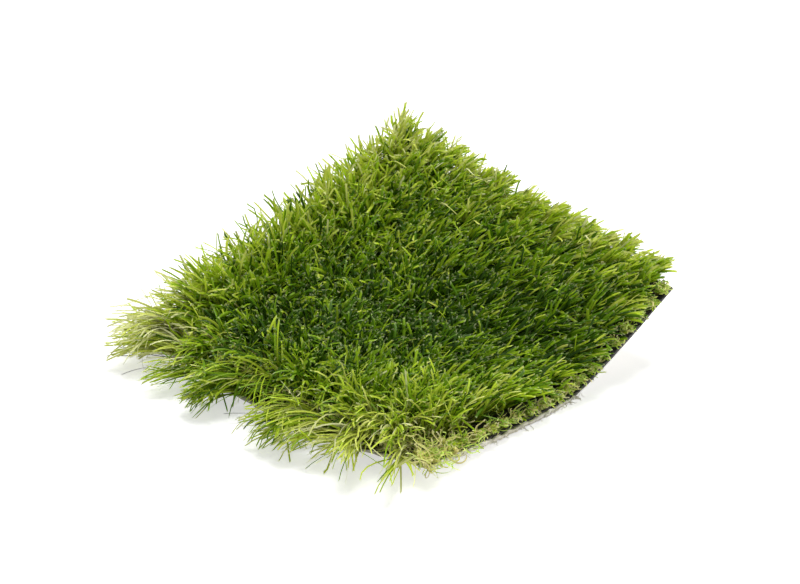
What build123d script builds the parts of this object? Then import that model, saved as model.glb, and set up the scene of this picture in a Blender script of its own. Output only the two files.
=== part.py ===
from build123d import *
import math
import os

# Square cut sample of artificial turf, curled by its time on the roll.
# X runs along the stitched rows, Y across them, Z up. The origin is on the underside, in the
# middle of the flat stretch that the sample lies on.
os.makedirs("parts", exist_ok=True)

# The cut sheet, measured flat
sheet_length = 150.0
sheet_width = 150.0
coat_thickness = 1.0
backing_thickness = 1.2
# The front cut runs across the rows and is a little round
front_bow = 10.0
front_bow_sides = 6

# The curl, measured along the underside of the sheet and square to the curl's axis
curl_axis_angle = 5.0
front_lift_length = 33.0
front_lift_radius = 680.0
flat_end = 74.0
knee_radius = 55.0
knee_angle = 22.2
tail_radius = 600.0
# The curl is followed in short flats, so that a needle hole keeps plain sides
front_flats = 1
knee_flats = 4
tail_flats = 2

# The stitched rows
row_gauge = 9.5
stitch_pitch = 7.8
# The least sheet left outside the outermost roots
edge_margin = 2.0
back_stitch_width = 1.6
back_stitch_thickness = 0.5
yarn_clearance = 0.1

# One tuft: where its yarn leaves the back stitch, and where its ribbons end
root_length = 1.6
root_width = 1.2
tip_length = 5.4
tip_width = 7.4
pile_height = 30.0
# The row beside the bare cut edge is sheared down to its thatch
cut_row_height = 11.0

# How far a tuft leans, as sideways travel for each millimetre of height
front_edge_splay = 0.55
raised_edge_splay = 0.25
far_side_splay = 0.6
cut_side_splay = 0.2
nap_across = -0.2

curl_turn = math.radians(curl_axis_angle)
knee_turn = math.radians(knee_angle)
knee_end = flat_end + knee_radius * knee_turn
sheet_thickness = coat_thickness + backing_thickness
row_count = int((sheet_width - 2 * edge_margin) / row_gauge) + 1
stitch_count = int((sheet_length - 2 * edge_margin) / stitch_pitch) + 1
first_row = (sheet_width - (row_count - 1) * row_gauge) / 2
first_stitch = (sheet_length - (stitch_count - 1) * stitch_pitch) / 2
# Spare material around the outline, trimmed off by the square cut
trim = 3.0
curl_start = -front_bow - trim
curl_end = sheet_length * math.cos(curl_turn) + sheet_width * math.sin(curl_turn) + trim


def bend_slope(run):
    """Angle of the smooth curl after a run of sheet from the front."""
    if run < front_lift_length:
        return (run - front_lift_length) / front_lift_radius
    if run < flat_end:
        return 0.0
    if run < knee_end:
        return (run - flat_end) / knee_radius
    return knee_turn + (run - knee_end) / tail_radius


def bend_underside(run):
    """Forward distance and height of the smooth curl's underside after a run of sheet."""
    slope = bend_slope(run)
    if run < front_lift_length:
        forward = front_lift_length + front_lift_radius * math.sin(slope)
        return forward, front_lift_radius * (1 - math.cos(slope))
    if run < flat_end:
        return run, 0.0
    if run < knee_end:
        forward = flat_end + knee_radius * math.sin(slope)
        return forward, knee_radius * (1 - math.cos(slope))
    forward = flat_end + knee_radius * math.sin(knee_turn)
    height = knee_radius * (1 - math.cos(knee_turn))
    forward += tail_radius * (math.sin(slope) - math.sin(knee_turn))
    height += tail_radius * (math.cos(knee_turn) - math.cos(slope))
    return forward, height


def fold_point(run, level):
    """Point at a level above the underside, in the plane square to the curl's axis."""
    forward, height = bend_underside(run)
    slope = bend_slope(run)
    return forward - level * math.sin(slope), height + level * math.cos(slope)


def fold_runs():
    """Runs of sheet at which one short flat of the curl meets the next."""
    stretches = [
        (curl_start, front_lift_length, front_flats),
        (front_lift_length, flat_end, 1),
        (flat_end, knee_end, knee_flats),
        (knee_end, curl_end, tail_flats),
    ]
    runs = [curl_start]
    for start, stop, flats in stretches:
        runs += [start + (stop - start) * flat / flats for flat in range(1, flats + 1)]
    return runs


def flat_at(run, level):
    """Forward distance, height and slope at a level on the short flat that a run of sheet reaches."""
    stop = next(fold for fold in fold_runs()[1:] if run <= fold)
    start = max(fold for fold in fold_runs() if fold < stop)
    start_forward, start_height = fold_point(start, level)
    stop_forward, stop_height = fold_point(stop, level)
    share = (run - start) / (stop - start)
    forward = start_forward + share * (stop_forward - start_forward)
    height = start_height + share * (stop_height - start_height)
    return forward, height, math.atan2(stop_height - start_height, stop_forward - start_forward)


def curled_layer(low, high):
    """Everything between two levels of the curled sheet, wider than the sample."""
    below = [fold_point(run, low) for run in fold_runs()]
    above = [fold_point(run, high) for run in reversed(fold_runs())]
    section = make_face(Polyline(below + above, close=True))
    along_curl = (math.cos(curl_turn), math.sin(curl_turn), 0)
    curl_axis = (math.sin(curl_turn), -math.cos(curl_turn), 0)
    curl_plane = Plane(origin=(0, 0, 0), x_dir=along_curl, z_dir=curl_axis)
    return extrude(curl_plane * section, amount=2 * sheet_width, both=True)


def sheet_point(along, across, level):
    """Where a place on the flat sheet comes to lie once the sheet has curled, and its slope."""
    run = along * math.cos(curl_turn) + across * math.sin(curl_turn)
    forward, height, slope = flat_at(run, level)
    x = (forward - across * math.sin(curl_turn)) / math.cos(curl_turn)
    return (x, across, height), slope


def plan_point(along, across):
    """A place on the sheet, seen from above."""
    place, _ = sheet_point(along, across, 0)
    return place[:2]


def front_edge(across):
    """How far the round front cut stands out past its two corners."""
    return 4 * front_bow * across * (sheet_width - across) / sheet_width ** 2


def cut_outline():
    """The square cut, as a tall block that trims each layer."""
    corners = [plan_point(sheet_length, 0), plan_point(sheet_length, sheet_width)]
    for side in range(front_bow_sides, -1, -1):
        across = sheet_width * side / front_bow_sides
        corners.append(plan_point(-front_edge(across), across))
    return Pos(0, 0, -pile_height) * extrude(make_face(Polyline(corners, close=True)), amount=4 * pile_height)


def row_strip(row, width):
    """A tall strip that follows one row of stitches from edge to edge."""
    centre_x = sheet_length / 2
    return Pos(centre_x, first_row + row * row_gauge, 0) * Box(2 * sheet_length, width, 4 * pile_height)


def stitch_place(row, stitch):
    """Where one stitch is on the flat sheet."""
    return first_stitch + stitch * stitch_pitch, first_row + row * row_gauge


def stitches(row):
    """The stitches of one row, with the extra ones that the round front leaves room for."""
    spare_length = front_edge(first_row + row * row_gauge) + first_stitch - edge_margin
    return range(-int(spare_length / stitch_pitch), stitch_count)


def stitch_plane(row, stitch, level):
    """Plane on the sheet at one stitch: X along the row, Z square off the sheet."""
    place, slope = sheet_point(*stitch_place(row, stitch), level)
    along_row = (math.cos(slope) / math.cos(curl_turn), 0, math.sin(slope))
    off_sheet = (
        -math.sin(slope) * math.cos(curl_turn),
        -math.sin(slope) * math.sin(curl_turn),
        math.cos(slope),
    )
    return Plane(origin=place, x_dir=along_row, z_dir=off_sheet)


def lean_at(row, stitch):
    """Lean of one tuft: with the nap, outward at the edges, and upright where the sheet climbs."""
    place = stitch_place(row, stitch)
    along = place[0] / sheet_length
    across = place[1] / sheet_width
    _, slope = sheet_point(*place, 0)
    lean_along = math.tan(slope) - front_edge_splay * (1 - along) ** 3 + raised_edge_splay * along ** 3
    lean_across = nap_across + far_side_splay * across ** 3 - cut_side_splay * (1 - across) ** 3
    return lean_along, lean_across


def yarn(row, stitch, height, spare):
    """The yarn of one stitch, from the back stitch up to a height, with spare space around it."""
    grown = height / pile_height
    lean_along, lean_across = lean_at(row, stitch)
    root_x = root_length / 2 + spare
    root_y = root_width / 2 + spare
    tip_x = root_x + (tip_length - root_length) / 2 * grown
    tip_y = root_y + (tip_width - root_width) / 2 * grown
    centre_x = root_x + lean_along * height
    centre_y = root_y - lean_across * height
    flare = Wedge(
        2 * root_x, height, 2 * root_y,
        centre_x - tip_x, centre_y - tip_y, centre_x + tip_x, centre_y + tip_y,
        align=Align.NONE,
    )
    root_level = coat_thickness - yarn_clearance - back_stitch_thickness / 2
    return stitch_plane(row, stitch, root_level) * Rot(90, 0, 0) * Pos(-root_x, 0, -root_y) * flare


def make_latex_coat(outline):
    """The pale coat, with a groove bedding each row's back stitch."""
    groove_floor = coat_thickness - back_stitch_thickness - 2 * yarn_clearance
    above_coat = curled_layer(groove_floor, sheet_thickness)
    grooves = [above_coat & row_strip(row, back_stitch_width + 2 * yarn_clearance) for row in range(row_count)]
    return (curled_layer(0, coat_thickness) & outline) - grooves


def make_primary_backing(outline):
    """The black woven sheet, with a needle hole for each stitch."""
    through = 2 * sheet_thickness
    holes = [
        yarn(row, stitch, through, yarn_clearance)
        for row in range(row_count)
        for stitch in stitches(row)
    ]
    return (curled_layer(coat_thickness, sheet_thickness) & outline) - holes


def make_tuft_row(row, stitch_layer):
    """One run of yarn: its back stitch and a tuft standing at every stitch."""
    back_stitch = stitch_layer & row_strip(row, back_stitch_width)
    height = cut_row_height if row == 0 else pile_height
    tufts = [yarn(row, stitch, height, 0) for stitch in stitches(row)]
    return back_stitch + tufts


def save(piece, name):
    """Move the piece so that the origin is under the flat stretch, and write it."""
    rest_run = (front_lift_length + flat_end) / 2
    rest_y = sheet_width / 2
    rest_x = (rest_run - rest_y * math.sin(curl_turn)) / math.cos(curl_turn)
    export_step(Pos(-rest_x, -rest_y, 0) * piece, f"parts/{name}.step")


outline = cut_outline()
save(make_latex_coat(outline), "latex_coat")
save(make_primary_backing(outline), "primary_backing")

stitch_top = coat_thickness - yarn_clearance
stitch_layer = curled_layer(stitch_top - back_stitch_thickness, stitch_top) & outline
for row in range(row_count):
    save(make_tuft_row(row, stitch_layer), f"tuft_row_{row + 1:02d}")
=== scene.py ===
# %% [markdown]
# # A square cut sample of artificial turf
#
# The object is a 150 mm square cut from a roll of artificial turf. It has three kinds of piece:
# a pale latex coat under everything, a black woven backing, and sixteen rows of green yarn that
# are stitched through both. It still has the curl of the roll, so its right side stands up off
# the floor.
#
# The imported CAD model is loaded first. It says where each piece is, and every mesh below is built
# in that same place, in metres.

# %% Load the frame
import math
import bpy
import numpy as np
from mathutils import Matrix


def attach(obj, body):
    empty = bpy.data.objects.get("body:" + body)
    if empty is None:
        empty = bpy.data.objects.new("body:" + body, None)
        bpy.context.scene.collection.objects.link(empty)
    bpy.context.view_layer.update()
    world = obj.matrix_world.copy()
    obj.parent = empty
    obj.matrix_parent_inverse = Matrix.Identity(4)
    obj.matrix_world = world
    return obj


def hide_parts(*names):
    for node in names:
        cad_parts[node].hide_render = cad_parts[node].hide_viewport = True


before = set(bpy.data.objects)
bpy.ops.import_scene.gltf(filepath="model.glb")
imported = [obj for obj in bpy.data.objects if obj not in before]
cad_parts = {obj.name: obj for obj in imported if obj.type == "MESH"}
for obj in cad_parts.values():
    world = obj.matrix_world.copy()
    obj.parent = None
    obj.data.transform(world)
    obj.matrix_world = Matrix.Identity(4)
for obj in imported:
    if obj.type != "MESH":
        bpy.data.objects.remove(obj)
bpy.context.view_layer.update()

# %% [markdown]
# ## The curled sheet
#
# The whole sample is one sheet, cut square and then bent about one axis, as anything is that was
# wound on a roll. Such a shape could be sculpted, or bent with a modifier. Here it is a function
# from a place on the flat sheet to a place in space, because the coat, the weave, the needle
# holes and each blade's root can then all ask the same function where they are. Lengths in these
# functions are millimetres, as on the CAD drawing, and a mesh is turned to metres when it is made.

# %% The sheet and its curl
SHEET = 150.0
COAT = 1.0
BACKING = 1.2
FRONT_BOW = 10.0
CURL_TURN = math.radians(5.0)
FRONT_LIFT_LENGTH, FRONT_LIFT_RADIUS = 33.0, 680.0
FLAT_END, KNEE_RADIUS, KNEE_TURN = 74.0, 55.0, math.radians(22.2)
TAIL_RADIUS = 600.0
KNEE_END = FLAT_END + KNEE_RADIUS * KNEE_TURN
# The origin is under the middle of the flat stretch that the sample lies on
REST_RUN = (FRONT_LIFT_LENGTH + FLAT_END) / 2
REST_Y = SHEET / 2
REST_X = (REST_RUN - REST_Y * math.sin(CURL_TURN)) / math.cos(CURL_TURN)


def curl(run):
    """Forward distance and height of the underside after a run of sheet from the front."""
    front = (run - FRONT_LIFT_LENGTH) / FRONT_LIFT_RADIUS
    knee = (run - FLAT_END) / KNEE_RADIUS
    tail = KNEE_TURN + (run - KNEE_END) / TAIL_RADIUS
    knee_forward = FLAT_END + KNEE_RADIUS * math.sin(KNEE_TURN)
    knee_top = KNEE_RADIUS * (1 - math.cos(KNEE_TURN))
    zones = [run < FRONT_LIFT_LENGTH, run < FLAT_END, run < KNEE_END]
    forward = np.select(zones, [
        FRONT_LIFT_LENGTH + FRONT_LIFT_RADIUS * np.sin(front),
        run,
        FLAT_END + KNEE_RADIUS * np.sin(knee),
    ], knee_forward + TAIL_RADIUS * (np.sin(tail) - math.sin(KNEE_TURN)))
    height = np.select(zones, [
        FRONT_LIFT_RADIUS * (1 - np.cos(front)),
        np.zeros_like(run),
        KNEE_RADIUS * (1 - np.cos(knee)),
    ], knee_top + TAIL_RADIUS * (math.cos(KNEE_TURN) - np.cos(tail)))
    return forward, height


print("the sheet bends up between runs of", FLAT_END, "and", round(KNEE_END, 1), "mm")

# %% Places on the curled sheet
FRONT_CORNER_LIFT, CORNER_REACH = 4.5, 38.0
SIDE_LIFT, SIDE_LIFT_PLACE, SIDE_REACH = 7.5, 68.0, 34.0
SLOPE_STEP = 0.5


def underside(along, across):
    """The sheet's underside. Its front corner and far side lift a little more than the curl."""
    forward, height = curl(along * math.cos(CURL_TURN) + across * math.sin(CURL_TURN))
    x = (forward - across * math.sin(CURL_TURN)) / math.cos(CURL_TURN)
    corner = np.exp(-(along ** 2 + across ** 2) / CORNER_REACH ** 2)
    side = np.exp(-((along - SIDE_LIFT_PLACE) ** 2 + (across - SHEET) ** 2) / SIDE_REACH ** 2)
    z = height + FRONT_CORNER_LIFT * corner + SIDE_LIFT * side
    return np.stack([x - REST_X, across - REST_Y, z], axis=-1)


def front_edge(across):
    """How far the hand-cut front stands out past its two corners."""
    return 4 * FRONT_BOW * across * (SHEET - across) / SHEET ** 2


def unit(vectors):
    """The same directions, one long."""
    return vectors / np.maximum(np.linalg.norm(vectors, axis=-1, keepdims=True), 1e-9)


def sheet_axes(along, across):
    """Along the rows, across the rows, and square off the sheet, at places on it."""
    row_way = unit(underside(along + SLOPE_STEP, across) - underside(along - SLOPE_STEP, across))
    cross_way = unit(underside(along, across + SLOPE_STEP) - underside(along, across - SLOPE_STEP))
    return row_way, cross_way, unit(np.cross(row_way, cross_way))


def sheet_place(along, across, level):
    """A place at a level above the sheet's underside."""
    return underside(along, across) + np.asarray(level)[..., None] * sheet_axes(along, across)[2]


corners = sheet_place(np.array([0, SHEET, SHEET, 0]), np.array([0, 0, SHEET, SHEET]), np.zeros(4))
print("sheet corners in mm:", corners.round(1).tolist())

# %% [markdown]
# ## Turning arrays into meshes
#
# The sample has thousands of blades. Separate objects would be slow, and a particle system leaves
# strands that are hard to export, so each piece is one joined mesh, made at once from arrays of
# points and four-sided faces. Every piece also gets two flat maps of the same layout: the one its
# material reads, and one that an exporter can bake on.

# %% A mesh from arrays
MM = 0.001
MAP_NAMES = ("flat", "OFBake")


def mesh_piece(name, points, quads, flat_map, material):
    """A smooth object from points in millimetres and faces of four. The flat map has a place for
    each corner of each face."""
    mesh = bpy.data.meshes.new(name)
    mesh.vertices.add(len(points))
    mesh.vertices.foreach_set("co", (points * MM).astype(np.float32).ravel())
    mesh.loops.add(quads.size)
    mesh.loops.foreach_set("vertex_index", quads.astype(np.int32).ravel())
    mesh.polygons.add(len(quads))
    mesh.polygons.foreach_set("loop_start", np.arange(0, quads.size, 4, dtype=np.int32))
    mesh.update(calc_edges=True)
    for map_name in MAP_NAMES:
        layer = mesh.uv_layers.new(name=map_name)
        layer.uv.foreach_set("vector", flat_map.astype(np.float32).ravel())
    mesh.uv_layers["flat"].active_render = True
    mesh.polygons.foreach_set("use_smooth", np.ones(len(quads), dtype=bool))
    mesh.materials.append(material)
    piece = bpy.data.objects.new(name, mesh)
    bpy.context.scene.collection.objects.link(piece)
    return piece


print("each piece gets the maps", MAP_NAMES, "and one millimetre is", MM, "metres")

# %% [markdown]
# ## Shared finishes
#
# Three effects are used by more than one material: the streaks drawn along a moulded fibre, a
# plain weave, and a soft mottle of dust and age. They could be painted as pictures, but a picture
# blurs close up and has to be kept beside the model. So each is a node group with named sockets.
# A group only puts out values. The shader that they feed stays in the material.

# %% Node helpers
# The sockets of the node that mixes colours, which share it with numbers and vectors
MIX_SHARE, MIX_FIRST, MIX_SECOND, MIX_RESULT = 0, 6, 7, 2


def paint(red, green, blue):
    """A colour as it is read off a paint card, 0 to 255, turned into the light a shader mixes."""
    card = np.array([red, green, blue]) / 255
    light = np.where(card <= 0.04045, card / 12.92, ((card + 0.055) / 1.055) ** 2.4)
    return (*light.tolist(), 1.0)


def place_node(tree, kind, sockets=None, **settings):
    """A node with its settings made, and each named socket given a value or another node's."""
    made = tree.nodes.new(kind)
    for name, value in settings.items():
        setattr(made, name, value)
    for name, value in (sockets or {}).items():
        if isinstance(value, bpy.types.NodeSocket):
            tree.links.new(value, made.inputs[name])
        else:
            made.inputs[name].default_value = value
    return made


def calculate(tree, operation, *values):
    """The result of one sum, product or other step on numbers."""
    return place_node(tree, "ShaderNodeMath", dict(enumerate(values)), operation=operation).outputs[0]


def spread(tree, value, low, high, new_low, new_high):
    """A value moved from one range to another, and kept inside it."""
    sockets = {"Value": value, "From Min": low, "From Max": high, "To Min": new_low, "To Max": new_high}
    return place_node(tree, "ShaderNodeMapRange", sockets).outputs["Result"]


def blend_colours(tree, share, first, second, blend_type="MIX"):
    """Two colours mixed."""
    sockets = {MIX_SHARE: share, MIX_FIRST: first, MIX_SECOND: second}
    mixed = place_node(tree, "ShaderNodeMix", sockets, data_type="RGBA", blend_type=blend_type)
    return mixed.outputs[MIX_RESULT]


print("a card of half brightness, as light:", round(paint(128, 128, 128)[0], 3))


# %% Group helpers
def new_group(name, inputs, outputs):
    """An empty group with named sockets, and its two end nodes. An input of None is a vector."""
    tree = bpy.data.node_groups.new(name, "ShaderNodeTree")
    for label, value in inputs.items():
        kind = "NodeSocketVector" if value is None else "NodeSocketFloat"
        socket = tree.interface.new_socket(label, in_out="INPUT", socket_type=kind)
        if value is not None:
            socket.default_value = value
    for label in outputs:
        tree.interface.new_socket(label, in_out="OUTPUT", socket_type="NodeSocketFloat")
    return tree, tree.nodes.new("NodeGroupInput").outputs, tree.nodes.new("NodeGroupOutput").inputs


def show_group(group):
    """Print what a group is given and what it gives."""
    print("group:", group.name, "sockets:", [socket.name for socket in group.interface.items_tree])


# %% Group: streaks along a fibre
# A fibre's tint number moves its streaks this far, so that no two tints are streaked alike
STREAK_STRIDE = 7.31


def make_strand_streaks():
    """A strand's tint, how far along and across it a point is, and its streaks, from its map."""
    tree, given, result = new_group(
        "strand streaks",
        {"Map": None, "Tints": 24.0, "Streaks across": 7.0, "Streaks along": 1.5},
        ["Tint", "Along", "Across", "Streak"],
    )
    parts = place_node(tree, "ShaderNodeSeparateXYZ", {"Vector": given["Map"]}).outputs
    scaled = calculate(tree, "MULTIPLY", parts["X"], given["Tints"])
    strip = calculate(tree, "FLOOR", scaled)
    across = calculate(tree, "FRACT", scaled)
    fine = calculate(tree, "ADD", calculate(tree, "MULTIPLY", across, given["Streaks across"]),
                     calculate(tree, "MULTIPLY", strip, STREAK_STRIDE))
    long = calculate(tree, "MULTIPLY", parts["Y"], given["Streaks along"])
    place = place_node(tree, "ShaderNodeCombineXYZ", {"X": fine, "Y": long}).outputs["Vector"]
    noise = place_node(tree, "ShaderNodeTexNoise", {"Vector": place, "Scale": 1.0, "Detail": 2.0},
                       noise_dimensions="2D").outputs["Fac"]
    tree.links.new(calculate(tree, "DIVIDE", strip, given["Tints"]), result["Tint"])
    tree.links.new(parts["Y"], result["Along"])
    tree.links.new(across, result["Across"])
    tree.links.new(spread(tree, noise, 0.3, 0.7, 0.0, 1.0), result["Streak"])
    return tree


strand_streaks = make_strand_streaks()
show_group(strand_streaks)

# %% Group: plain weave of flat tapes
# The nearer to none, the flatter a tape is on top
TAPE_ROUNDNESS = 0.35


def tape_crown(tree, place):
    """Height across one tape, from a place counted in tapes."""
    arch = calculate(tree, "MULTIPLY", calculate(tree, "FRACT", place), math.pi)
    return calculate(tree, "POWER", calculate(tree, "SINE", arch), TAPE_ROUNDNESS)


def make_plain_weave():
    """Height and over-under pattern of a weave, from a map measured in metres."""
    tree, given, result = new_group("plain weave", {"Map": None, "Tape width": 0.0013}, ["Height", "Over"])
    parts = place_node(tree, "ShaderNodeSeparateXYZ", {"Vector": given["Map"]}).outputs
    along = calculate(tree, "DIVIDE", parts["X"], given["Tape width"])
    across = calculate(tree, "DIVIDE", parts["Y"], given["Tape width"])
    squares = calculate(tree, "ADD", calculate(tree, "FLOOR", along), calculate(tree, "FLOOR", across))
    over = calculate(tree, "PINGPONG", squares, 1.0)
    under = calculate(tree, "SUBTRACT", 1.0, over)
    first = calculate(tree, "MULTIPLY", tape_crown(tree, along), over)
    second = calculate(tree, "MULTIPLY", tape_crown(tree, across), under)
    tree.links.new(calculate(tree, "ADD", first, second), result["Height"])
    tree.links.new(over, result["Over"])
    return tree


plain_weave = make_plain_weave()
show_group(plain_weave)

# %% Group: mottle
# Each output, the input that scales it, and the range of noise that it shows
MOTTLES = (("Patches", "Patch scale", 0.35, 0.65), ("Specks", "Speck scale", 0.45, 0.62))


def make_mottle():
    """Broad patches and fine specks that break up a plain surface."""
    tree, given, result = new_group(
        "mottle", {"Patch scale": 60.0, "Speck scale": 900.0}, ["Patches", "Specks"])
    place = place_node(tree, "ShaderNodeTexCoord").outputs["Object"]
    for label, scale, low, high in MOTTLES:
        sockets = {"Vector": place, "Scale": given[scale], "Detail": 3.0}
        noise = place_node(tree, "ShaderNodeTexNoise", sockets).outputs["Fac"]
        tree.links.new(spread(tree, noise, low, high, 0.0, 1.0), result[label])
    return tree


mottle = make_mottle()
show_group(mottle)


# %% Material helpers
def new_material(name):
    """A material that is made of nodes, with its tree and its shader."""
    material = bpy.data.materials.new(name)
    material.use_nodes = True
    return material, material.node_tree, material.node_tree.nodes["Principled BSDF"]


def dress(tree, shader, colour, roughness, height, strength, depth):
    """Give a shader its colour and roughness, and a bump with a depth in metres."""
    tree.links.new(colour, shader.inputs["Base Color"])
    tree.links.new(roughness, shader.inputs["Roughness"])
    bump = place_node(tree, "ShaderNodeBump", {"Height": height, "Strength": strength, "Distance": depth})
    tree.links.new(bump.outputs["Normal"], shader.inputs["Normal"])


# %% [markdown]
# ## The yarn's two finishes
#
# The blades are flat ribbons of extruded polyethylene, in greens from dark to lime. The thatch
# between them is a thinner, crimped yarn in straw, olive and tan. A picture of grass on flat
# planes would look right only from one side. Each blade is real geometry instead, and carries a
# tint number, which a colour ramp turns into one of the yarn's greens. Both yarns let some light
# through, which is what makes the tips glow against a bright ground.

# %% A strand material
FIBRE_GLOSS = 0.14
# Where the painted shade of the root gives way, and where the cut pales the tip, from 0 at the root to 1
SHADED_STRETCH = (0.15, 0.85)
CUT_STRETCH, CUT_PALENESS = (0.955, 0.985), 0.45
STREAK_SHADES, STREAK_ROUGHNESS = (0.84, 1.1), 0.16


def tint_ramp(tree, tint, palette):
    """The colours of a yarn in a row, one of them picked by a strand's tint."""
    ramp = place_node(tree, "ShaderNodeValToRGB", {"Fac": tint})
    elements = ramp.color_ramp.elements
    while len(elements) < len(palette):
        elements.new(0.5)
    for index, colour in enumerate(palette):
        elements[index].position = index / (len(palette) - 1)
        elements[index].color = paint(*colour)
    return ramp.outputs["Color"]


def strand_material(name, palette, tints, painted_root_shade, tip_colour, roughness, translucent, streaks):
    """A thin plastic fibre: darker at the root with painted shade, paler at the cut tip, streaked along
    its length.
    """
    material, tree, shader = new_material(name)
    shader.inputs["Specular IOR Level"].default_value = FIBRE_GLOSS
    flat = place_node(tree, "ShaderNodeUVMap", uv_map="flat").outputs["UV"]
    strand = place_node(tree, "ShaderNodeGroup", {"Map": flat, "Tints": tints, "Streaks across": streaks},
                        node_tree=strand_streaks).outputs
    # Painted shade: the colour darkens towards the root, where the pile would shade the fibre
    light = spread(tree, strand["Along"], *SHADED_STRETCH, painted_root_shade, 1.0)
    light = calculate(tree, "MULTIPLY", light, spread(tree, strand["Streak"], 0.0, 1.0, *STREAK_SHADES))
    light = place_node(tree, "ShaderNodeCombineColor", {"Red": light, "Green": light, "Blue": light})
    tinted = tint_ramp(tree, strand["Tint"], palette)
    shaded = blend_colours(tree, 1.0, tinted, light.outputs[0], "MULTIPLY")
    tip = spread(tree, strand["Along"], *CUT_STRETCH, 0.0, CUT_PALENESS)
    colour = blend_colours(tree, tip, shaded, paint(*tip_colour))
    rough = spread(tree, strand["Streak"], 0.0, 1.0, roughness, roughness + STREAK_ROUGHNESS)
    dress(tree, shader, colour, rough, height=strand["Streak"], strength=0.35, depth=0.0001)
    through = place_node(tree, "ShaderNodeBsdfTranslucent", {"Color": colour})
    surface = {0: translucent, 1: shader.outputs[0], 2: through.outputs[0]}
    mixed = place_node(tree, "ShaderNodeMixShader", surface)
    tree.links.new(mixed.outputs[0], tree.nodes["Material Output"].inputs["Surface"])
    return material


# %% The two yarns
BLADE_TINTS, THATCH_TINTS = 24, 16
BLADE_COLOURS = [
    (53, 86, 12), (96, 140, 18), (153, 192, 31), (200, 226, 56),
    (225, 237, 95), (238, 243, 140), (247, 248, 198),
]
THATCH_COLOURS = [
    (151, 139, 65), (172, 205, 78), (206, 240, 104),
    (230, 244, 140), (246, 234, 158), (250, 243, 204),
]
blade_finish = strand_material(
    "green ribbon yarn", BLADE_COLOURS, BLADE_TINTS, painted_root_shade=0.08, tip_colour=(240, 244, 190),
    roughness=0.28, translucent=0.22, streaks=7.0)
thatch_finish = strand_material(
    "crimped thatch yarn", THATCH_COLOURS, THATCH_TINTS, painted_root_shade=0.25, tip_colour=(248, 242, 206),
    roughness=0.45, translucent=0.3, streaks=3.0)
print("yarn finishes:", blade_finish.name, "and", thatch_finish.name)

# %% [markdown]
# ## The backing and its coat
#
# Both layers are thin sheets with a cut edge. A plane with a thickness modifier would do for the
# weave, but the coat is fuller over each row's back stitches and ragged where the knife crossed
# it. So both are built as two grids, an upper and a lower one, joined by a rim, and each point of
# a grid is given its own level.

# %% Smooth seeded ripples
def ripple(along, across, seed, shortest=3.0, longest=12.0, waves=9):
    """A smooth uneven surface, mostly between -1 and 1, the same on every run."""
    chance = np.random.default_rng(seed)
    lengths = chance.uniform(shortest, longest, waves)
    headings = chance.uniform(0, math.tau, waves)
    starts = chance.uniform(0, math.tau, waves)
    total = 0
    for length, heading, start in zip(lengths, headings, starts):
        travel = along * math.cos(heading) + across * math.sin(heading)
        total = total + np.sin(math.tau * travel / length + start)
    return total / math.sqrt(waves)


sample = ripple(np.linspace(0, SHEET, 500), 0, seed=1)
print("ripples from", round(sample.min(), 1), "to", round(sample.max(), 1))

# %% The grid of a sheet
# How far inside each edge the grid has one more line, which rounds the edge
LIP = 0.35


def narrow_ends(cells):
    """Even places from edge to edge, with one more close to each edge."""
    places = np.linspace(0, SHEET, cells + 1)
    return np.concatenate([[0, LIP], places[1:-1], [SHEET - LIP, SHEET]])


def sheet_faces(shape):
    """The faces of one grid of points, and the ring of points around it."""
    number = np.arange(shape[0] * shape[1]).reshape(shape)
    face = np.stack([number[:-1, :-1], number[1:, :-1], number[1:, 1:], number[:-1, 1:]], axis=-1)
    ring = np.concatenate([number[:, 0], number[-1, 1:], number[-2::-1, -1], number[0, -2:0:-1]])
    return face.reshape(-1, 4), ring


print("a grid of 120 cells has", len(narrow_ends(120)), "lines")

# %% The flat map of a sheet
# The upper and lower face take half the map each, and the rim has the narrow strip between them
MAP_MARGIN = 0.01
FACE_MAP_SIZE, FACE_MAP_START, UPPER_MAP_START = [0.48, 0.98], [0.005, 0.01], [0.51, 0]
RIM_MAP = (0.492, 0.508)


def rim_map(faces):
    """A place on the strip for each corner of each of the rim's faces."""
    steps = np.linspace(MAP_MARGIN, 1 - MAP_MARGIN, faces + 1)
    start, stop = steps[:-1], steps[1:]
    low, high = (np.full(faces, place) for place in RIM_MAP)
    rim_corners = ((low, start), (low, stop), (high, stop), (high, start))
    return np.stack([np.stack(corner, axis=-1) for corner in rim_corners], axis=1)


print("the rim's strip is", round(RIM_MAP[1] - RIM_MAP[0], 3), "of the map wide")


# %% A closed sheet from two grids
def closed_sheet(name, cells_along, cells_across, low_level, high_level, outline, material):
    """A curled sheet with an upper face, a lower face and a rim around its cut edge."""
    lines = narrow_ends(cells_along) / SHEET, narrow_ends(cells_across)
    share, across = np.meshgrid(*lines, indexing="ij")
    along = SHEET * share - front_edge(across) * (1 - share)
    edges = {"front": share == 0, "back": share == 1, "cut": across == 0, "far": across == SHEET}
    cut_along, cut_across = outline(along, across, edges)
    lower = sheet_place(cut_along, cut_across, low_level(along, across))
    upper = sheet_place(cut_along, cut_across, high_level(along, across))
    points = np.concatenate([lower.reshape(-1, 3), upper.reshape(-1, 3)])
    face, ring = sheet_faces(along.shape)
    after = np.roll(ring, -1)
    rim = np.stack([ring, after, after + along.size, ring + along.size], axis=-1)
    quads = np.concatenate([face[:, ::-1], face + along.size, rim])
    half = np.stack([share.ravel(), across.ravel() / SHEET], axis=-1) * FACE_MAP_SIZE + FACE_MAP_START
    flat_map = np.concatenate([half[face[:, ::-1]], half[face] + UPPER_MAP_START, rim_map(len(ring))])
    piece = mesh_piece(name, points, quads, flat_map, material)
    print(name, "faces:", len(quads))
    return piece


# %% [markdown]
# The primary backing is black slit tape, woven plain at about eight tapes to the centimetre. Only
# a strip of it shows, between the stubs beside the cut edge. Modelling each tape would cost far
# more faces than it shows, so the weave is a bump on a sheet, and the tape ends that fray out of
# the cut are real strips, added further on.

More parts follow.
